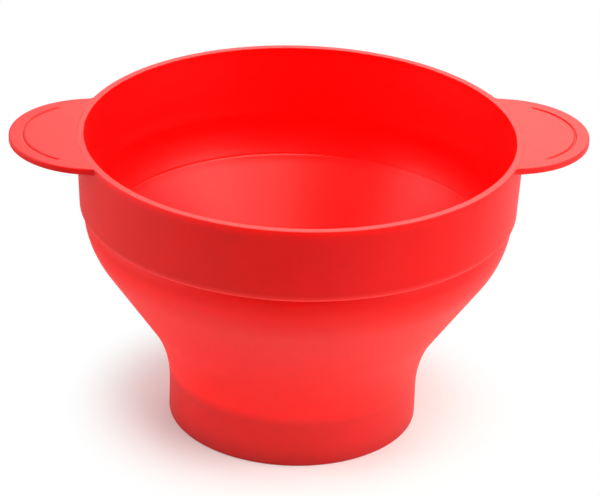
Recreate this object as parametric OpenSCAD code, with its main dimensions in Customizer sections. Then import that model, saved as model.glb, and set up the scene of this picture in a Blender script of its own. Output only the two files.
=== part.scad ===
// Collapsible silicone bowl with two tab handles.
// The bowl is one moulding. It is drawn here as the zones that a moulder would call out on it:
// a thick base cup, a thin flared neck, a cone that turns inside out as the bowl folds,
// a thin shoulder, and a thick rim band that carries the two handles.
// The bowl stands on z = 0 with its axis on Z, and the handles lie along X.

/* [Bowl] */
// Outer diameter of the rim
rim_d = 200; // [190:1:215]
// Height of the open bowl
bowl_h = 139; // [134:1:150]
// Outer diameter of the base
base_d = 114; // [105:1:120]

/* [Rim band] */
// Height of the stiff band below the rim
band_h = 34; // [28:1:38]
// Wall thickness of the band
band_t = 3.2; // [2.4:0.1:4]
// Amount by which the band's radius is smaller at its lower edge
band_draft = 1.4; // [0.5:0.1:3]
// Rounding of the lip's inner edge
lip_round = 0.8; // [0.3:0.1:1.2]
// Rounding of the band's lower outer edge
step_round = 1; // [0.4:0.1:1.2]

/* [Folding wall] */
// Wall thickness of the folding wall
fold_t = 1.6; // [1.2:0.1:2.2]
// Height at which the neck starts to flare
neck_z = 14.5; // [10:0.5:18]
// Radius of the neck's hollow curve, on the outside
neck_r = 61; // [50:1:65]
// Radius of the shoulder's full curve, on the outside
shoulder_r = 42; // [32:1:46]
// Height of the lower hinge line above the table
low_hinge_z = 40; // [34:1:44]
// Depth of the upper hinge line below the band
high_hinge_drop = 13; // [9:1:16]
// Number of rings that the cone is divided into
ring_count = 8; // [6:1:12]
// Clearance between neighbouring rings
ring_gap = 0.3; // [0.2:0.05:0.5]
// Depth below the lip of the crease inside the cone, where the wall doubles over
crease_drop = 52.5; // [51:0.5:54]
// Width of the crease
crease_w = 1; // [0.6:0.1:1.4]
// Share of the fold, from open at 0 to flat at 1
fold_share = 0; // [0:0.05:1]

/* [Base cup] */
// Height of the thick base zone
cup_h = 26; // [22:1:30]
// Wall thickness of the base cup
cup_t = 3; // [2.4:0.1:4]
// Height over which the cup's wall thins to the folding wall
cup_ramp_h = 4; // [2:0.5:8]
// Thickness of the floor
floor_t = 3; // [2:0.1:4]
// Radius between the floor and the cup's wall, inside
floor_round = 6; // [3:0.5:10]
// Width of the ring that the bowl stands on
foot_w = 8; // [5:0.5:12]
// Depth of the hollow under the floor
foot_recess = 1; // [0.5:0.1:2]
// Rounding of the foot's outer edge
foot_round = 0.8; // [0.4:0.1:1.5]

/* [Handles] */
// Radius of a handle's outline
handle_r = 38; // [32:0.5:42]
// Distance by which a handle's centre lies inside the rim
handle_inset = 8; // [4:0.5:12]
// Thickness of a handle
handle_t = 2.9; // [1.8:0.1:3.2]
// Radius of the hollow corner between a handle and the rim, seen from above
root_round = 2; // [1:0.5:4]
// Distance of the grip groove from the handle's edge
groove_inset = 6.5; // [5:0.5:9]
// Width of the grip groove
groove_w = 1.2; // [0.8:0.1:1.6]
// Depth of the grip groove
groove_depth = 0.5; // [0.3:0.1:0.8]
// Angle of the groove's arc about the handle's centre
groove_angle = 120; // [90:5:150]

/* [Hidden] */
// Overrun of cuts past the surfaces that they open
overrun = 5;
// Angle between the points of an arc in an outline
arc_step = 5;
// Angle between the points of the neck and shoulder curves
wall_step = 2;
$fn = 180;

rim_r = rim_d / 2;
base_r = base_d / 2;
band_z = bowl_h - band_h;
band_low_r = rim_r - band_draft;
floor_z = foot_recess + floor_t;

// The folding wall runs on from the band's inner face, so its outer face steps in under the band.
wall_top_r = band_low_r - band_t + fold_t;

// The neck and the shoulder are two arcs joined by a cone that is tangent to both.
// Their radii are limited by the wall between them, so that the cone always has some length.
wall_w = wall_top_r - base_r;
wall_h = band_z - neck_z;
bend_limit = (wall_w * wall_w + wall_h * wall_h) / (2 * wall_w);
bend_share = min(1, 0.97 * bend_limit / (neck_r + shoulder_r));
neck_bend = neck_r * bend_share;
shoulder_bend = shoulder_r * bend_share;
bend_sum = neck_bend + shoulder_bend;
cone_angle = asin(bend_sum / norm([wall_h, bend_sum - wall_w])) - atan2(bend_sum - wall_w, wall_h);
neck_x = base_r + neck_bend;
shoulder_x = wall_top_r - shoulder_bend;

// Hinge lines, and how far the band comes down: its hinge ends level with the floor's top.
high_hinge_z = band_z - high_hinge_drop;
travel = high_hinge_z - floor_z;

handle_x = rim_r - handle_inset;

// Points of an arc about [x, z], from angle a to angle b, ends included.
function arc(x, z, r, a, b, step = arc_step) =
    let (n = max(1, ceil(abs(b - a) / step)))
    [for (i = [0:n]) let (t = a + (b - a) * i / n) [x + r * cos(t), z + r * sin(t)]];

// Height of the folding wall at radius r, on the face that lies t inside the outer one.
function wall_z(r, t = 0) =
    let (
        low_r = neck_x - (neck_bend + t) * cos(cone_angle),
        low_z = neck_z + (neck_bend + t) * sin(cone_angle),
        high_r = shoulder_x + (shoulder_bend - t) * cos(cone_angle)
    )
    r < low_r ? neck_z + sqrt(pow(neck_bend + t, 2) - pow(neck_x - r, 2))
    : r < high_r ? low_z + (r - low_r) / tan(cone_angle)
    : band_z - sqrt(max(0, pow(shoulder_bend - t, 2) - pow(r - shoulder_x, 2)));

// Radius of the folding wall at height z, on the face that lies t inside the outer one.
function wall_r(z, t = 0) =
    let (
        low_z = neck_z + (neck_bend + t) * sin(cone_angle),
        high_z = band_z - (shoulder_bend - t) * sin(cone_angle)
    )
    z < low_z ? neck_x - sqrt(pow(neck_bend + t, 2) - pow(z - neck_z, 2))
    : z < high_z ? neck_x - (neck_bend + t) * cos(cone_angle) + (z - low_z) * tan(cone_angle)
    : shoulder_x + sqrt(pow(shoulder_bend - t, 2) - pow(band_z - z, 2));

// Points of the wall's face at depth t, from radius a to radius b.
function wall_points(a, b, t, n) = [for (i = [0:n]) let (r = a + (b - a) * i / n) [r, wall_z(r, t)]];

// Outer radius of the wall at the ring boundary i, from 0 at the lower hinge to ring_count.
function cut_r(i) = wall_r(low_hinge_z + (high_hinge_z - low_hinge_z) * i / ring_count);

// Part of the band's travel that ring i follows: none at the lower hinge, all at the upper one.
function ring_share(i) = let (t = (i - 0.5) / ring_count) t * t * (3 - 2 * t);

// Moves what rides on the band, or a ring by its own share of the band's travel.
module lowered(share = 1) translate([0, 0, -travel * fold_share * share]) children();

// Cup with a thick wall, a floor that stands clear of the table and a ring to stand on.
module base_cup() {
    foot_in_r = base_r - foot_w;
    cup_in_r = base_r - cup_t;
    color("firebrick") rotate_extrude() polygon(concat(
        [[0, foot_recess], [foot_in_r - foot_recess, foot_recess], [foot_in_r, 0]],
        arc(base_r - foot_round, foot_round, foot_round, -90, 0, 3 * arc_step),
        arc(neck_x, neck_z, neck_bend, 180, 180 - asin((cup_h - neck_z) / neck_bend), wall_step),
        [[wall_r(cup_h, fold_t), cup_h], [cup_in_r, cup_h - cup_ramp_h]],
        arc(cup_in_r - floor_round, floor_z + floor_round, floor_round, 0, -90),
        [[0, floor_z]]
    ));
}

// Thin flared wall between the cup and the lower hinge line. It bends a little as the cone turns over.
module neck_hinge() {
    edge_r = cut_r(0) - ring_gap / 2;
    n = ceil(cone_angle / wall_step);
    color("red") rotate_extrude() polygon(concat(
        wall_points(wall_r(cup_h), edge_r, 0, n),
        wall_points(edge_r, wall_r(cup_h, fold_t), fold_t, n)
    ));
}

// One ring of the cone, cut from its neighbours along the direction in which it moves.
module fold_ring(i) {
    in_r = cut_r(i - 1) + ring_gap / 2;
    out_r = cut_r(i) - ring_gap / 2;
    n = ceil((out_r - in_r) / fold_t);
    crease_z = bowl_h - crease_drop;
    color(i % 2 == 0 ? "red" : "tomato") lowered(ring_share(i)) rotate_extrude() difference() {
        polygon(concat(wall_points(in_r, out_r, 0, n), wall_points(out_r, in_r, fold_t, n)));
        translate([wall_r(crease_z, fold_t), crease_z]) circle(d = crease_w);
    }
}

// Thin curved wall between the upper hinge line and the band.
module shoulder_hinge() {
    edge_r = cut_r(ring_count) + ring_gap / 2;
    edge_a = acos((edge_r - shoulder_x) / shoulder_bend);
    inner_bend = shoulder_bend - fold_t;
    inner_a = acos((edge_r - shoulder_x) / inner_bend);
    color("red") lowered() rotate_extrude() polygon(concat(
        arc(shoulder_x, band_z, shoulder_bend, -edge_a, 0, wall_step),
        arc(shoulder_x, band_z, inner_bend, 0, -inner_a, wall_step)
    ));
}

// Stiff band with a slight draft and a flat lip. Its lower edge is rounded and overhangs the shoulder,
// and its top is straight over the height of a handle, so that the handles meet it squarely.
module rim_band() {
    in_r = rim_r - band_t;
    color("crimson") lowered() rotate_extrude() polygon(concat(
        [[band_low_r - band_t, band_z]],
        arc(band_low_r - step_round, band_z + step_round, step_round, -90, 0, 3 * arc_step),
        [[rim_r, bowl_h - handle_t], [rim_r, bowl_h]],
        arc(in_r + lip_round, bowl_h - lip_round, lip_round, 90, 180, 3 * arc_step)
    ));
}

// Handle outline seen from above: a circle that runs into the rim through a small hollow corner on each side.
module handle_outline() {
    reach = rim_r + root_round;
    x = (reach * reach - pow(handle_r + root_round, 2) + handle_x * handle_x) / (2 * handle_x);
    y = sqrt(reach * reach - x * x);
    rim_a = atan2(y, x);
    edge_a = atan2(y, x - handle_x);
    difference() {
        polygon(concat(
            arc(x, -y, root_round, 180 - rim_a, 180 - edge_a, 2 * arc_step),
            arc(handle_x, 0, handle_r, -edge_a, edge_a, arc_step / 2),
            arc(x, y, root_round, 180 + edge_a, 180 + rim_a, 2 * arc_step),
            [[0, 0]]
        ));
        circle(r = rim_r);
    }
}

// Groove that follows a handle's edge at an even distance, with round ends.
module grip_groove() {
    r = handle_r - groove_inset;
    a = groove_angle / 2;
    end_x = handle_x + r * cos(a);
    end_y = r * sin(a);
    polygon(concat(
        arc(handle_x, 0, r + groove_w / 2, -a, a),
        arc(end_x, end_y, groove_w / 2, a, a + 180, 6 * arc_step),
        arc(handle_x, 0, r - groove_w / 2, a, -a),
        arc(end_x, -end_y, groove_w / 2, 180 - a, 360 - a, 6 * arc_step)
    ));
}

// Flat tab that is flush with the lip, with a groove that the fingertips find.
module handle() difference() {
    translate([0, 0, bowl_h - handle_t]) linear_extrude(handle_t) handle_outline();
    translate([0, 0, bowl_h - groove_depth]) linear_extrude(groove_depth + overrun) grip_groove();
}

module handle_right() color("salmon") lowered() handle();
module handle_left() color("salmon") lowered() rotate([0, 0, 180]) handle();

base_cup();
neck_hinge();
for (i = [1:ring_count]) fold_ring(i);
shoulder_hinge();
rim_band();
handle_left();
handle_right();
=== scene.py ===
import math

import bpy
import numpy as np
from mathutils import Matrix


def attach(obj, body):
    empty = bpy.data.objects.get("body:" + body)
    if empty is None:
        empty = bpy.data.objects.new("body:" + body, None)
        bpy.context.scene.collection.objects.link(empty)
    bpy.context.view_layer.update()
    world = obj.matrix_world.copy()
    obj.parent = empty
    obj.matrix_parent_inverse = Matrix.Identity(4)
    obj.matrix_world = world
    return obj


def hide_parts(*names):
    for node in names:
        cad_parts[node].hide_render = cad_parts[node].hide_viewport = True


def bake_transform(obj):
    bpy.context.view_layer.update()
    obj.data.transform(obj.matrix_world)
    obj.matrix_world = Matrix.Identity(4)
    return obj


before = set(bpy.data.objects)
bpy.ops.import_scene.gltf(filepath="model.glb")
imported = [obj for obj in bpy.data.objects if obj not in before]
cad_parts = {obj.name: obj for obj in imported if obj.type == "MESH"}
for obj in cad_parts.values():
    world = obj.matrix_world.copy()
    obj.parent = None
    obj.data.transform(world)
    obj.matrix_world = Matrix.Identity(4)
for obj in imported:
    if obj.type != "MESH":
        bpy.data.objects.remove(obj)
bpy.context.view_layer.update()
scene = bpy.context.scene
scene.view_settings.view_transform = "Standard"

# Camera. The photograph looks down on the bowl from the front with a long lens. The lens, place and
# tilt were fitted to the ellipses of the lip, the step and the foot, in pixels of a 600 x 496 frame.
FRAME_W = 600
FOCAL_PX = 3225.0
CAMERA_PITCH = 26.59
CAMERA_ROLL = 1.89
BOWL_YAW = 4.58
CAMERA_DISTANCE = 1.5036
BOWL_RIGHT, BOWL_DOWN = -0.00388, 0.0728
SENSOR = 36.0


def camera_axes(pitch, roll, yaw):
    """Rows are the camera's right, down and forward in the bowl's frame: the bowl is turned about Z by
    yaw, seen from pitch above the horizon, then the picture is turned by roll."""
    p, r, y = np.radians([pitch, roll, yaw])
    turn = np.array([[np.cos(y), -np.sin(y), 0], [np.sin(y), np.cos(y), 0], [0, 0, 1]])
    look = np.array([[1, 0, 0], [0, -np.sin(p), -np.cos(p)], [0, np.cos(p), -np.sin(p)]])
    tilt = np.array([[np.cos(r), -np.sin(r), 0], [np.sin(r), np.cos(r), 0], [0, 0, 1]])
    return tilt @ look @ turn


axes = camera_axes(CAMERA_PITCH, CAMERA_ROLL, BOWL_YAW)
place = -axes.T @ np.array([BOWL_RIGHT, BOWL_DOWN, CAMERA_DISTANCE])
camera = bpy.data.objects.new("camera", bpy.data.cameras.new("camera"))
scene.collection.objects.link(camera)
camera_matrix = np.eye(4)
camera_matrix[:3, :3] = np.stack([axes[0], -axes[1], -axes[2]], axis=1)
camera_matrix[:3, 3] = place
camera.matrix_world = camera_matrix.T.tolist()
camera.data.sensor_fit = "HORIZONTAL"
camera.data.sensor_width = SENSOR
camera.data.lens = FOCAL_PX / FRAME_W * SENSOR
camera.data.clip_end = 20
scene.camera = camera

# Bowl. One compression moulding in red platinum silicone, about 60 Shore A. The cup and the rim band
# are about 3 mm thick and stay stiff. The wall between them is 1.6 mm thick and turns inside out.
MM = 0.001
COLUMNS = 192
RIM_R, BOWL_H = 100.0, 139.0
BAND_Z, BAND_T, BAND_DRAFT, BAND_TOP_FLAT = 105.0, 3.2, 1.4, 2.9
STEP_ROUND, STEP_FILLET = 1.0, 0.25
GUTTER_H, GUTTER_DEPTH, BULGE = 8.0, 1.1, 0.35
LIP_EDGE, LIP_FLAT, LIP_CORNER, PAST_LIP = 0.35, 3.0, 60, 5.0
BASE_R, CUP_T, FOLD_T = 57.0, 3.0, 1.6
CUP_THIN_FROM, CUP_THIN_TO = 20.5, 28.0
FLOOR_Z, FLOOR_ROUND = 4.0, 6.0
FOOT_RECESS, FOOT_IN_R, FOOT_ROUND = 1.0, 49.0, 0.8
NECK_Z, NECK_R, SHOULDER_R, CONE_ANGLE = 14.5, 61.0, 42.0, 34.237
CREASE_Z, CREASE_W, CREASE_DEPTH = 86.5, 1.0, 0.3
CREASE_AT, CREASE_HALF, CREASE_END, CREASE_FAINT = 109.0, 36.0, 18.0, 0.15
HINGE_LOW, HINGE_HIGH = 42.8, 94.8
LEAST_WALL, FULL_WALL = 0.2, 8.0
NECK_X = BASE_R + NECK_R
SHOULDER_X = RIM_R - BAND_DRAFT - BAND_T + FOLD_T - SHOULDER_R


def smooth_step(t):
    """Rises from 0 to 1 while t does, level at both ends: 3 t squared less 2 t cubed."""
    t = np.clip(t, 0, 1)
    return t * t * (3 - 2 * t)


def arc(x, z, r, a, b, n):
    """n points of a circle about (x, z), from angle a to angle b in degrees."""
    t = np.radians(np.linspace(a, b, n))
    return np.stack([x + r * np.cos(t), z + r * np.sin(t)], axis=1)


def line(a, b, n):
    """n points of a straight line from a to b."""
    return np.linspace(a, b, n)


def outer_face():
    """The outside of the section as a fine polyline, from just past the middle of the floor over the
    foot, the cup, the neck's hollow arc, the cone, the shoulder's full arc with a shallow gutter at its
    top, the step and the band to just past the lip, so that each ray from the inside meets it. The
    gutter deepens with the square of the height above its start."""
    low_r = RIM_R - BAND_DRAFT
    top_r = SHOULDER_X + SHOULDER_R
    dip = np.degrees(np.arcsin(STEP_FILLET / SHOULDER_R))
    full = arc(SHOULDER_X, BAND_Z, SHOULDER_R, -CONE_ANGLE, -dip, 160)
    full[:, 0] -= GUTTER_DEPTH * np.clip((full[:, 1] - BAND_Z) / GUTTER_H + 1, 0, 1) ** 2
    return np.concatenate([
        [[-1.0, FOOT_RECESS], [FOOT_IN_R - FOOT_RECESS, FOOT_RECESS], [FOOT_IN_R, 0]],
        arc(BASE_R - FOOT_ROUND, FOOT_ROUND, FOOT_ROUND, -90, 0, 12),
        arc(NECK_X, NECK_Z, NECK_R, 180, 180 - CONE_ANGLE, 120),
        full,
        arc(top_r + STEP_FILLET, BAND_Z - STEP_FILLET, STEP_FILLET, 180, 90, 8),
        arc(low_r - STEP_ROUND, BAND_Z + STEP_ROUND, STEP_ROUND, -90, 0, 24),
        [[RIM_R, BOWL_H - BAND_TOP_FLAT], [RIM_R, BOWL_H + PAST_LIP]],
    ])


def food_face():
    """The inside of the section, one point for each row of the mesh: a flat floor, a quarter round, the
    cup, then points set inwards from the outer face by the wall's own thickness, then the band. Rows
    stand close together at the foot's corners, the crease, the gutter and the step. A soft bulge, a
    smooth step up and down again, backs the gutter on the other side of the wall."""
    fillet_x, fillet_z = BASE_R - CUP_T - FLOOR_ROUND, FLOOR_Z + FLOOR_ROUND
    floor = np.array([[r, FLOOR_Z] for r in (8, 18, 28, 37, 43, 46.2, 47.2)])
    angles = np.array([0, 2.9, 5.7, 7, 12, 18, 24, 30, 35, 38.3, 39.4, 40.7, 42, 43.3, 44.5, 46,
                       51, 58, 66, 74, 82, 90])
    fillet = np.stack([fillet_x + FLOOR_ROUND * np.sin(np.radians(angles)),
                       fillet_z - FLOOR_ROUND * np.cos(np.radians(angles))], axis=1)
    cup = line([BASE_R - CUP_T, fillet_z + 1.1], [BASE_R - CUP_T, NECK_Z], 4)
    turn = np.radians(np.linspace(0, CONE_ANGLE, 26)[1:])
    height = NECK_Z + NECK_R * np.sin(turn)
    thinned = smooth_step((height - CUP_THIN_FROM) / (CUP_THIN_TO - CUP_THIN_FROM))
    bend = NECK_R + CUP_T + (FOLD_T - CUP_T) * thinned
    neck = np.stack([NECK_X - bend * np.cos(turn), NECK_Z + bend * np.sin(turn)], axis=1)
    inner_bend = SHOULDER_R - FOLD_T
    cone_end = arc(SHOULDER_X, BAND_Z, inner_bend, -CONE_ANGLE, -CONE_ANGLE, 1)[0]
    cone = line(neck[-1], cone_end, 16)[1:-1]
    heights = np.concatenate([
        np.linspace(cone_end[1], CREASE_Z - 1.4, 5),
        CREASE_Z + CREASE_W * np.array([-0.75, -0.5, -0.34, -0.17, 0, 0.17, 0.34, 0.5, 0.75]),
        np.linspace(CREASE_Z + 1.8, BAND_Z - GUTTER_H - 0.3, 7),
        BAND_Z - GUTTER_H * np.linspace(0.98, 0.09, 20),
        BAND_Z - np.array([0.5, 0.25, 0.125, 0.034, 0.001]),
    ])
    shoulder = np.stack([SHOULDER_X + np.sqrt(inner_bend**2 - (BAND_Z - heights) ** 2), heights], axis=1)
    low_r = SHOULDER_X + inner_bend
    foot = np.array([[low_r, BAND_Z + z] for z in (0.012, 0.06, 0.16, 0.32, 0.55, 0.8, 1.0, 1.5)])
    band = line([low_r, BAND_Z + 1.5], [RIM_R - BAND_T, BOWL_H - LIP_FLAT], 18)[1:]
    top = line(band[-1], [RIM_R - BAND_T, BOWL_H], 5)[1:]
    section = np.concatenate([floor, fillet, cup, neck, cone, shoulder, foot, band, top])
    section[:, 0] -= BULGE * smooth_step(1 - np.abs(section[:, 1] - BAND_Z) / GUTTER_H)
    return section


def revolve(section):
    """Turns section points about Z: a point at radius r becomes a ring of COLUMNS vertices at
    (r cos a, r sin a, z), in metres, after one vertex in the middle of the floor. Faces look inwards."""
    a = np.linspace(0, 2 * np.pi, COLUMNS, endpoint=False)
    r, z = section[:, :1], section[:, 1:]
    rings = np.stack([r * np.cos(a), r * np.sin(a), z + 0 * a], axis=2).reshape(-1, 3)
    points = np.concatenate([[[0, 0, section[0, 1]]], rings]) * MM
    ring = 1 + np.arange(len(section) * COLUMNS).reshape(-1, COLUMNS)
    after = np.roll(ring, -1, axis=1)
    quads = np.stack([ring[:-1], ring[1:], after[1:], after[:-1]], axis=2).reshape(-1, 4)
    fan = np.stack([0 * ring[0], ring[0], after[0]], axis=1)
    return points, fan.tolist() + quads.tolist(), ring


def wall_depth(points, directions, face):
    """How far each ray from points along directions runs before it meets the polyline face: solves
    point + t direction = a + s (b - a) for every ray and segment, and keeps the nearest t that makes
    a wall."""
    a, d = face[:-1], np.diff(face, axis=0)
    gap = a[None] - points[:, None]
    cross = directions[:, None, 0] * d[None, :, 1] - directions[:, None, 1] * d[None, :, 0]
    with np.errstate(divide="ignore", invalid="ignore"):
        t = (gap[..., 0] * d[None, :, 1] - gap[..., 1] * d[None, :, 0]) / cross
        s = (gap[..., 0] * directions[:, None, 1] - gap[..., 1] * directions[:, None, 0]) / cross
    hit = (s >= -1e-6) & (s <= 1 + 1e-6) & (t > LEAST_WALL)
    return np.where(hit, t, np.inf).min(axis=1)


def new_piece(name, points, faces, material):
    """Makes a smooth-shaded mesh object at the origin from points in metres and lists of corners."""
    mesh = bpy.data.meshes.new(name)
    mesh.from_pydata(points.tolist(), [], faces)
    mesh.update()
    mesh.shade_smooth()
    mesh.materials.append(material)
    piece = bpy.data.objects.new(name, mesh)
    scene.collection.objects.link(piece)
    return piece


def linear(hex_colour):
    """An sRGB hex colour as linear RGBA."""
    c = np.array([int(hex_colour[i:i + 2], 16) for i in (1, 3, 5)]) / 255
    c = np.where(c <= 0.04045, c / 12.92, ((c + 0.055) / 1.055) ** 2.4)
    return (*c.tolist(), 1.0)


def add_node(tree, kind, inputs=None, **settings):
    """Adds a node, sets its properties, and fills its sockets with values or links from other nodes."""
    node = tree.nodes.new(kind)
    for key, value in settings.items():
        setattr(node, key, value)
    for key, value in (inputs or {}).items():
        if isinstance(value, bpy.types.NodeSocket):
            tree.links.new(value, node.inputs[key])
        else:
            node.inputs[key].default_value = value
    return node


CLOUDS_PER_M, GRAINS_PER_M = 55.0, 1400.0
CLOUD_SHARE, GLOSS_SPREAD = 0.2, 0.05
# the pale red of the painted highlight on the step's ridge
RIDGE_HIGHLIGHT_COLOUR = "#FF4646"
SILICONE_IOR = 1.41
RED_REACH = 0.01


def moulded_silicone(name, red, deep_red, roughness, soak, highlight_strength=0.0, shine=0.45):
    """Platinum silicone from a steel mould: a strong red pigment in a cloudy rubber. Red light soaks in
    as far as 10 mm and other light half a millimetre, so it comes out redder, and a thick wall looks deeper
    than a thin one, which glows. deep_red is painted shade, laid on where the mesh's painted_shade value
    says, and highlight_strength mixes in a pale painted highlight where its painted_ridge_highlight value
    says."""
    material = bpy.data.materials.new(name)
    material.use_nodes = True
    tree = material.node_tree
    shader = tree.nodes["Principled BSDF"]
    where = add_node(tree, "ShaderNodeTexCoord").outputs["Object"]
    # pigment clouds about 18 mm across, over the painted shade of the thick walls and shaded places
    cloud = add_node(tree, "ShaderNodeTexNoise",
                     {"Vector": where, "Scale": CLOUDS_PER_M, "Detail": 3.0, "Roughness": 0.5})
    painted_depth = add_node(tree, "ShaderNodeAttribute", attribute_type="GEOMETRY", attribute_name="painted_shade")
    depth = add_node(tree, "ShaderNodeMath", {0: cloud.outputs["Fac"], 1: CLOUD_SHARE}, operation="MULTIPLY")
    depth = add_node(tree, "ShaderNodeMath",
                     {0: painted_depth.outputs["Fac"], 1: 1 - CLOUD_SHARE, 2: depth.outputs[0]},
                     operation="MULTIPLY_ADD")
    colour = add_node(tree, "ShaderNodeMix",
                      {"Factor": depth.outputs[0], "A": linear(red), "B": linear(deep_red)}, data_type="RGBA")
    # a pale painted highlight on the ridge of the step
    ridge_highlight = add_node(tree, "ShaderNodeAttribute", attribute_type="GEOMETRY", attribute_name="painted_ridge_highlight")
    highlight = add_node(tree, "ShaderNodeMath", {0: ridge_highlight.outputs["Fac"], 1: highlight_strength}, operation="MULTIPLY")
    colour = add_node(tree, "ShaderNodeMix",
                      {"Factor": highlight.outputs[0], "A": colour.outputs[2], "B": linear(RIDGE_HIGHLIGHT_COLOUR)},
                      data_type="RGBA")
    tree.links.new(colour.outputs[2], shader.inputs["Base Color"])
    # spark-eroded grain, 0.25 mm in the mould, drawn at 0.7 mm so that it shows
    grain = add_node(tree, "ShaderNodeTexNoise",
                     {"Vector": where, "Scale": GRAINS_PER_M, "Detail": 2.0, "Roughness": 0.6})
    gloss = add_node(tree, "ShaderNodeMapRange",
                     {"Value": grain.outputs["Fac"], "From Min": 0.3, "From Max": 0.7,
                      "To Min": roughness - GLOSS_SPREAD, "To Max": roughness + GLOSS_SPREAD})
    tree.links.new(gloss.outputs["Result"], shader.inputs["Roughness"])
    bump = add_node(tree, "ShaderNodeBump",
                    {"Height": grain.outputs["Fac"], "Strength": 0.12, "Distance": 0.0002})
    tree.links.new(bump.outputs["Normal"], shader.inputs["Normal"])
    shader.inputs["IOR"].default_value = SILICONE_IOR
    shader.inputs["Specular IOR Level"].default_value = shine
    shader.inputs["Subsurface Weight"].default_value = soak
    shader.inputs["Subsurface Radius"].default_value = (1.0, 0.05, 0.04)
    shader.inputs["Subsurface Scale"].default_value = RED_REACH
    return material


def paint(piece, key, values):
    """Stores one value for each vertex under a name that the material reads."""
    piece.data.attributes.new(key, "FLOAT", "POINT")
    piece.data.attributes[key].data.foreach_set("value", values)


# The core that forms the inside is polished, so the inside is a little glossier than the outside, which
# comes from a spark-eroded cavity, soft and even to the eye, with a fine sheen at a low angle.
# The second colour of each is the red of the painted shade. On the outside, 0.75 is the strength of the
# painted highlight on the step's ridge.
food_silicone = moulded_silicone("compression_moulded_silicone_inside", "#FE0202", "#FB0202", 0.37, 1.0)
silicone = moulded_silicone("spark_eroded_silicone_outside", "#FE0503", "#C80404", 0.5, 1.0, 0.75, 0.56)
rows = food_face()
points, faces, ring = revolve(rows)
bowl = new_piece("bowl_skin", points, faces, food_silicone)
bowl.data.materials.append(silicone)
normals = np.empty(len(points) * 3)
bowl.data.vertices.foreach_get("normal", normals)
outwards = -normals.reshape(-1, 3)[ring[:, 0]][:, [0, 2]]
depth = wall_depth(rows, outwards, outer_face())

# The wall is grown outwards from the inside by each row's own share of a full thickness.
wall = bowl.vertex_groups.new(name="wall")
wall.add([0], (FLOOR_Z - FOOT_RECESS) / FULL_WALL, "REPLACE")
for row, share in zip(ring, depth / FULL_WALL):
    wall.add(row.tolist(), float(share), "REPLACE")

# Painted shade: the red is painted deeper where the wall is thick, for the light that gets through a thin
# wall, and deeper in a painted shadow under the step, a little less so above the lower hinge line, so the cup
# near the floor looks more shaded. The step's corner and the lip get painted glow, and the step's ridge a
# pale painted highlight.
SHADE_H, STEP_GLOW, LIP_GLOW, LIP_GLOW_H, BAND_SHADE_SHARE = 11.0, 1.2, 0.3, 4.0, 0.74
RIDGE_HIGHLIGHT_AT, RIDGE_HIGHLIGHT_H = 0.7, 1.7
below = BAND_Z - rows[:, 1]
painted_depth = np.clip((depth - FOLD_T) / (CUP_T - FOLD_T), 0, 1)
# painted glow at the step's corner and near the lip: less painted shade there
painted_depth *= smooth_step(np.abs(below + STEP_ROUND / 2) / (STEP_GLOW * STEP_ROUND))
painted_depth *= LIP_GLOW + (1 - LIP_GLOW) * smooth_step((BOWL_H - rows[:, 1]) / LIP_GLOW_H)
# painted shadow in a strip under the step's overhang
shade = smooth_step((SHADE_H - below) / (SHADE_H - GUTTER_H / 2))
painted_depth = np.where(below > 0, np.maximum(painted_depth, shade), painted_depth)
# painted shade a little weaker above the lower hinge line, so the cup near the floor looks more shaded
painted_depth *= np.where(rows[:, 1] > HINGE_LOW, BAND_SHADE_SHARE, 1)
# a pale painted highlight along the ridge of the step
ridge_highlight = 1 - smooth_step(np.abs(below + RIDGE_HIGHLIGHT_AT * STEP_ROUND) / (RIDGE_HIGHLIGHT_H * STEP_ROUND))
for key, share in (("painted_shade", painted_depth), ("painted_ridge_highlight", ridge_highlight)):
    paint(bowl, key, np.concatenate([share[:1], np.repeat(share, COLUMNS)]))

# The crease that folding has pressed into the inside alone, plain at the back, a little to the left, and
# faint elsewhere. Its depth goes in steps of a hundredth.
crease = bowl.vertex_groups.new(name="crease")
across = np.cos(np.pi * np.clip((rows[:, 1] - CREASE_Z) / CREASE_W, -0.5, 0.5)) ** 2
turn = np.abs(np.linspace(0, 360, COLUMNS, endpoint=False) - CREASE_AT)
along = CREASE_FAINT + (1 - CREASE_FAINT) * smooth_step((CREASE_HALF - turn) / CREASE_END)
pressed = np.round(across[:, None] * along, 2)
for share in np.unique(pressed)[1:]:
    crease.add(ring[pressed == share].tolist(), float(share), "REPLACE")
bowl.vertex_groups.new(name="outside")
solid = bowl.modifiers.new("wall", "SOLIDIFY")
solid.thickness = FULL_WALL * MM
solid.offset = -1
solid.vertex_group = "wall"
solid.shell_vertex_group = "outside"
solid.material_offset = 1
solid.material_offset_rim = 1
lip = bowl.modifiers.new("lip_edges", "BEVEL")
lip.width = LIP_EDGE * MM
lip.segments = 3
lip.limit_method = "ANGLE"
lip.angle_limit = math.radians(LIP_CORNER)
lip.harden_normals = True
inside = bowl.modifiers.new("crease_inside_only", "VERTEX_WEIGHT_MIX")
inside.vertex_group_a = "crease"
inside.vertex_group_b = "outside"
inside.mix_mode = "SUB"
inside.mix_set = "A"
press = bowl.modifiers.new("crease", "DISPLACE")
press.vertex_group = "crease"
press.mid_level = 0
press.strength = -CREASE_DEPTH * MM
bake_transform(bowl)
fold_rings = [f"fold_ring_{i}" for i in range(1, 9)]
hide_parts("base_cup", "neck_hinge", *fold_rings, "shoulder_hinge", "rim_band")

# Handles. Two flat tabs of the same silicone, 2.9 mm thick, moulded on with their tops flush with the
# lip. A small hollow corner runs out into the rim, and a shallow curved groove tells the thumb its place.
HANDLE_R, HANDLE_X, HANDLE_T = 38.0, 92.0, 2.9
ROOT_ROUND = 2.0
HANDLE_EDGE = 0.45
GROOVE_IN, GROOVE_W, GROOVE_DEPTH, GROOVE_HALF, GROOVE_END = 6.3, 1.7, 0.6, 60.0, 2.2
ROOT_IN_R = 99.66
FLAT_IN, NARROW_SPAN = 9.0, 11.0
SHARP = 50


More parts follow.
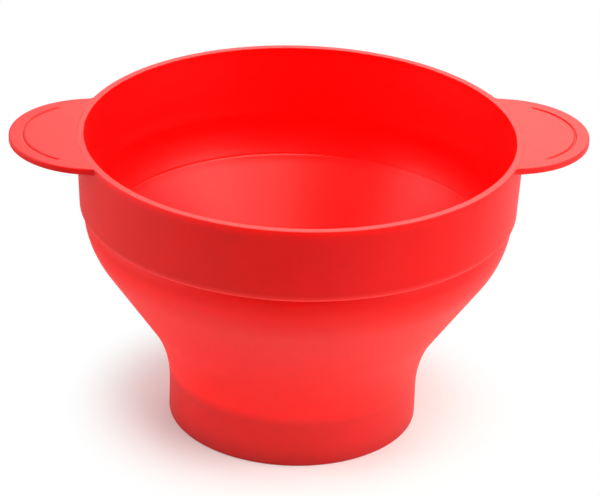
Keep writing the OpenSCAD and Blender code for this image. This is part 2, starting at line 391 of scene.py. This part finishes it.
def handle_section():
    """The tab's section as (distance in from its outline, depth below its top, part of the way to the
    root), clockwise from the root over the top: flat top, groove walls, rounded edge, side, underside.
    Its border is FLAT_IN wide."""
    inner = [(FLAT_IN, 0, share) for share in (1, 0.8, 0.6, 0.4, 0.2)]
    steps = np.array([0.9, 0.62, 0.5, 0.38, 0.25, 0.12])
    across = GROOVE_IN + GROOVE_W * np.concatenate([steps, [0], -steps[::-1]])
    top = [(FLAT_IN, 0, 0)] + [(d, 0, 0) for d in across] + [(3.6, 0, 0), (1.8, 0, 0), (0.9, 0, 0)]
    t = np.radians(np.linspace(0, 90, 6))
    edge = [(HANDLE_EDGE * (1 - math.sin(a)), HANDLE_EDGE * (1 - math.cos(a)), 0) for a in t]
    low = [(d, HANDLE_T - z, 0) for d, z, _ in reversed(edge)]
    under = [(d, HANDLE_T, 0) for d in (0.9, 2.5, 5, FLAT_IN)] + [(FLAT_IN, HANDLE_T, s) for s in (0.5, 1)]
    return np.array(inner + top + edge + low + under, float)


def handle_mesh(side):
    """Carries the section round the handle's centre. At angle a the outline is the big circle, or near
    the rim the hollow corner's circle, and the root is the circle inside the band. The border gets
    narrower where the tab does. The groove is a squared cosine across. Side is 1 or -1. Returns points,
    faces and each point's share of the groove's depth."""
    reach = RIM_R + ROOT_ROUND
    corner_x = (reach**2 - (HANDLE_R + ROOT_ROUND) ** 2 + HANDLE_X**2) / (2 * HANDLE_X)
    corner = np.array([corner_x - HANDLE_X, math.sqrt(reach**2 - corner_x**2)])
    corner_a = math.degrees(math.atan2(corner[1], corner[0]))
    last_a = math.degrees(math.atan2(RIM_R / reach * corner[1], RIM_R / reach * corner_x - HANDLE_X))
    half = np.concatenate([np.linspace(0, corner_a, 64), np.linspace(corner_a, last_a, 11)[1:]])
    a = np.concatenate([-half[:0:-1], half])
    turn = np.radians(a)
    off = np.radians(np.clip(np.abs(a) - corner_a, 0, None))
    far = np.hypot(*corner)
    hollow = far * np.cos(off) - np.sqrt(np.clip(ROOT_ROUND**2 - (far * np.sin(off)) ** 2, 0, None))
    outline = np.where(np.abs(a) <= corner_a, HANDLE_R, hollow)
    root = -HANDLE_X * np.cos(turn) + np.sqrt((HANDLE_X * np.cos(turn)) ** 2 - HANDLE_X**2 + ROOT_IN_R**2)
    span = outline - root
    squeeze = np.minimum(1, span / NARROW_SPAN)
    inward, drop, share = (c[:, None] for c in handle_section().T)
    rho = outline - (inward * squeeze * (1 - share) + span * share)
    groove = np.clip(np.abs(inward - GROOVE_IN) / (GROOVE_W / 2), 0, 1)
    length = smooth_step((GROOVE_HALF + GROOVE_END / 2 - np.abs(a)) / GROOVE_END)
    pressed = np.cos(groove * np.pi / 2) ** 2 * length * (drop == 0) * (inward < FLAT_IN)
    x = side * (HANDLE_X + rho * np.cos(turn))
    y = side * rho * np.sin(turn)
    z = BOWL_H - drop - GROOVE_DEPTH * pressed
    points = np.stack([x, y, z], axis=2).reshape(-1, 3) * MM
    grid = np.arange(x.size).reshape(x.shape)
    after = np.roll(grid, -1, axis=0)
    quads = np.stack([grid[:, :-1], after[:, :-1], after[:, 1:], grid[:, 1:]], axis=2).reshape(-1, 4).tolist()
    return points, quads + [grid[::-1, 0].tolist(), grid[:, -1].tolist()], pressed.reshape(-1)


# The tabs are grained like the bowl's outside. Light soaks in less far, and their grooves are painted a
# deeper red as shade.
tab_silicone = moulded_silicone("spark_eroded_silicone_tab", "#FE0503", "#B80404", 0.45, 0.15)
for side, name in ((1, "handle_right"), (-1, "handle_left")):
    points, faces, pressed = handle_mesh(side)
    tab = new_piece(name + "_skin", points, faces, tab_silicone)
    # painted shade in the groove
    paint(tab, "painted_shade", pressed)
    tab.data.set_sharp_from_angle(angle=math.radians(SHARP))
    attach(tab, "band")
    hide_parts(name)

# Floor. A sheet of matt white paper, lit until it looks almost blank, that keeps the bowl's soft shadow.
# The camera sees it turn to plain white away from the bowl, and a reflection a little further out.
FLOOR_HALF = 4.0
FLOOR_DROP = 0.00005
FADE_FROM, FADE_TO, FADE_LEAST, MIRROR_FADE_TO = 0.057, 0.108, 0.2, 0.25
FIBRES_PER_M, NAP_PER_M, PULP_PER_M = 400.0, 300.0, 200.0


def matt_sheet(name, dark, pale, flecks):
    """Pressed paper, felt or card, so rough that it has no shine. Fibres mottle it between two greys,
    with so many flecks to the metre."""
    material = bpy.data.materials.new(name)
    material.use_nodes = True
    tree = material.node_tree
    shader = tree.nodes["Principled BSDF"]
    shader.inputs["Roughness"].default_value = 1.0
    shader.inputs["Specular IOR Level"].default_value = 0.0
    where = add_node(tree, "ShaderNodeTexCoord").outputs["Object"]
    fleck = add_node(tree, "ShaderNodeTexNoise", {"Vector": where, "Scale": flecks, "Detail": 2.0})
    shade = add_node(tree, "ShaderNodeMix",
                     {"Factor": fleck.outputs["Fac"], "A": linear(dark), "B": linear(pale)}, data_type="RGBA")
    tree.links.new(shade.outputs[2], shader.inputs["Base Color"])
    return material


paper = matt_sheet("matt_white_paper", "#FAFAFA", "#FDFDFD", FIBRES_PER_M)
tree = paper.node_tree
matt = tree.nodes["Principled BSDF"]
where = add_node(tree, "ShaderNodeTexCoord").outputs["Object"]
blank = add_node(tree, "ShaderNodeEmission", {"Color": (1, 1, 1, 1), "Strength": 1.0})
rays = add_node(tree, "ShaderNodeLightPath").outputs
reach = add_node(tree, "ShaderNodeVectorMath", {0: where}, operation="LENGTH").outputs["Value"]
fade = add_node(tree, "ShaderNodeMapRange",
                {"Value": reach, "From Min": FADE_FROM, "From Max": FADE_TO, "To Min": FADE_LEAST},
                interpolation_type="SMOOTHSTEP").outputs["Result"]
mirrored = add_node(tree, "ShaderNodeMapRange",
                    {"Value": reach, "From Min": FADE_FROM, "From Max": MIRROR_FADE_TO},
                    interpolation_type="SMOOTHSTEP").outputs["Result"]
direct = add_node(tree, "ShaderNodeMath", {0: rays["Is Camera Ray"], 1: rays["Is Transmission Ray"]},
                  operation="MAXIMUM")
seen = add_node(tree, "ShaderNodeMath", {0: direct.outputs[0], 1: fade}, operation="MULTIPLY")
seen = add_node(tree, "ShaderNodeMath", {0: rays["Is Glossy Ray"], 1: mirrored, 2: seen.outputs[0]},
                operation="MULTIPLY_ADD")
both = add_node(tree, "ShaderNodeMixShader", {0: seen.outputs[0], 1: matt.outputs[0], 2: blank.outputs[0]})
tree.links.new(both.outputs[0], tree.nodes["Material Output"].inputs["Surface"])
corners = np.array([[-1, -1, 0], [1, -1, 0], [1, 1, 0], [-1, 1, 0]]) * FLOOR_HALF - [0, 0, FLOOR_DROP]
floor = new_piece("floor", corners, [(0, 1, 2, 3)], paper)

# Table front. The room on the camera's side is dimmer than the lit back. Two sheets that the camera doesn't
# see give the upright walls something darker to reflect: grey felt just above the floor, in front of the
# bowl and on its left, and in front, beyond the felt, a black card that lies flat and then stands up.
FELT_NEAR, FELT_FAR, FELT_LEFT, FELT_RIGHT, FELT_RISE = 0.13, 0.5, -1.0, 0.04, 0.001
SIDE_BACK, SIDE_RIGHT = -0.35, -0.15
CARD_LEFT, CARD_RIGHT, CARD_FAR, CARD_H = -2.2, 1.3, 1.2, 1.7
ahead = np.array([place[0], place[1]]) / np.hypot(place[0], place[1])
beside = np.array([-ahead[1], ahead[0]])


def hidden_sheet(name, corners, faces, material):
    """A sheet of the stage that the camera doesn't see. A corner is given as its distance towards the
    camera, its distance to the right of the bowl and its height."""
    points = np.array([[*(ahead * far + beside * across), up] for far, across, up in corners])
    sheet = new_piece(name, points, faces, material)
    sheet.visible_camera = False


felt = matt_sheet("grey_felt", "#A8A8A8", "#B2B2B2", NAP_PER_M)
felt_corners = [(FELT_NEAR, FELT_LEFT, FELT_RISE), (FELT_FAR, FELT_LEFT, FELT_RISE),
                (FELT_FAR, FELT_RIGHT, FELT_RISE), (FELT_NEAR, FELT_RIGHT, FELT_RISE),
                (SIDE_BACK, FELT_LEFT, FELT_RISE), (FELT_NEAR, SIDE_RIGHT, FELT_RISE),
                (SIDE_BACK, SIDE_RIGHT, FELT_RISE)]
hidden_sheet("table_front", felt_corners, [(0, 1, 2, 3), (4, 0, 5, 6)], felt)
card = matt_sheet("black_card", "#202020", "#262626", PULP_PER_M)
card_corners = [(FELT_FAR, CARD_LEFT, FELT_RISE), (FELT_FAR, CARD_RIGHT, FELT_RISE),
                (CARD_FAR, CARD_RIGHT, FELT_RISE), (CARD_FAR, CARD_LEFT, FELT_RISE),
                (CARD_FAR, CARD_RIGHT, CARD_H), (CARD_FAR, CARD_LEFT, CARD_H)]
hidden_sheet("camera_side_card", card_corners, [(0, 1, 2, 3), (3, 2, 4, 5)], card)

# Light. A white room gives a low even light, and the camera and reflections see it as plain white. Large
# soft boxes stand to the right and the left of the bowl, a warm one hangs over it, and a small warm one
# behind it lights the tops of the lip and the handles.
ROOM_LIGHT, AIM_Z = 0.07, 0.08
WARM = (1.0, 0.95, 0.85)
room = bpy.data.worlds.new("room")
scene.world = room
room.use_nodes = True
tree = room.node_tree
dim = tree.nodes["Background"]
dim.inputs["Color"].default_value = (1, 1, 1, 1)
dim.inputs["Strength"].default_value = ROOM_LIGHT
white = add_node(tree, "ShaderNodeBackground", {"Color": (1, 1, 1, 1), "Strength": 1.0})
rays = add_node(tree, "ShaderNodeLightPath").outputs
direct = add_node(tree, "ShaderNodeMath", {0: rays["Is Camera Ray"], 1: rays["Is Glossy Ray"]},
                  operation="MAXIMUM")
direct = add_node(tree, "ShaderNodeMath", {0: direct.outputs[0], 1: rays["Is Transmission Ray"]},
                  operation="MAXIMUM")
both = add_node(tree, "ShaderNodeMixShader", {0: direct.outputs[0], 1: dim.outputs[0], 2: white.outputs[0]})
tree.links.new(both.outputs[0], tree.nodes["World Output"].inputs["Surface"])


def soft_box(name, azimuth, elevation, distance, size, watts, colour=(1, 1, 1)):
    """A square area lamp aimed at the bowl's middle. Azimuth 0 is the camera's side, 90 its right."""
    lamp = bpy.data.lights.new(name, "AREA")
    lamp.size, lamp.energy, lamp.color = size, watts, colour
    holder = bpy.data.objects.new(name, lamp)
    scene.collection.objects.link(holder)
    a = math.atan2(place[1], place[0]) + math.radians(azimuth)
    e = math.radians(elevation)
    towards = np.array([math.cos(a) * math.cos(e), math.sin(a) * math.cos(e), math.sin(e)])
    right = np.array([-math.sin(a), math.cos(a), 0])
    matrix = np.eye(4)
    matrix[:3, :3] = np.stack([right, np.cross(towards, right), towards], axis=1)
    matrix[:3, 3] = towards * distance + [0, 0, AIM_Z]
    holder.matrix_world = matrix.T.tolist()


soft_box("overhead", 45, 68, 1.2, 1.2, 17.0, WARM)
soft_box("back", 172, 28, 1.3, 0.8, 4.8, WARM)
soft_box("right", 74, 24, 1.3, 1.3, 11.5)
soft_box("left", -88, 16, 1.3, 1.0, 10.0)
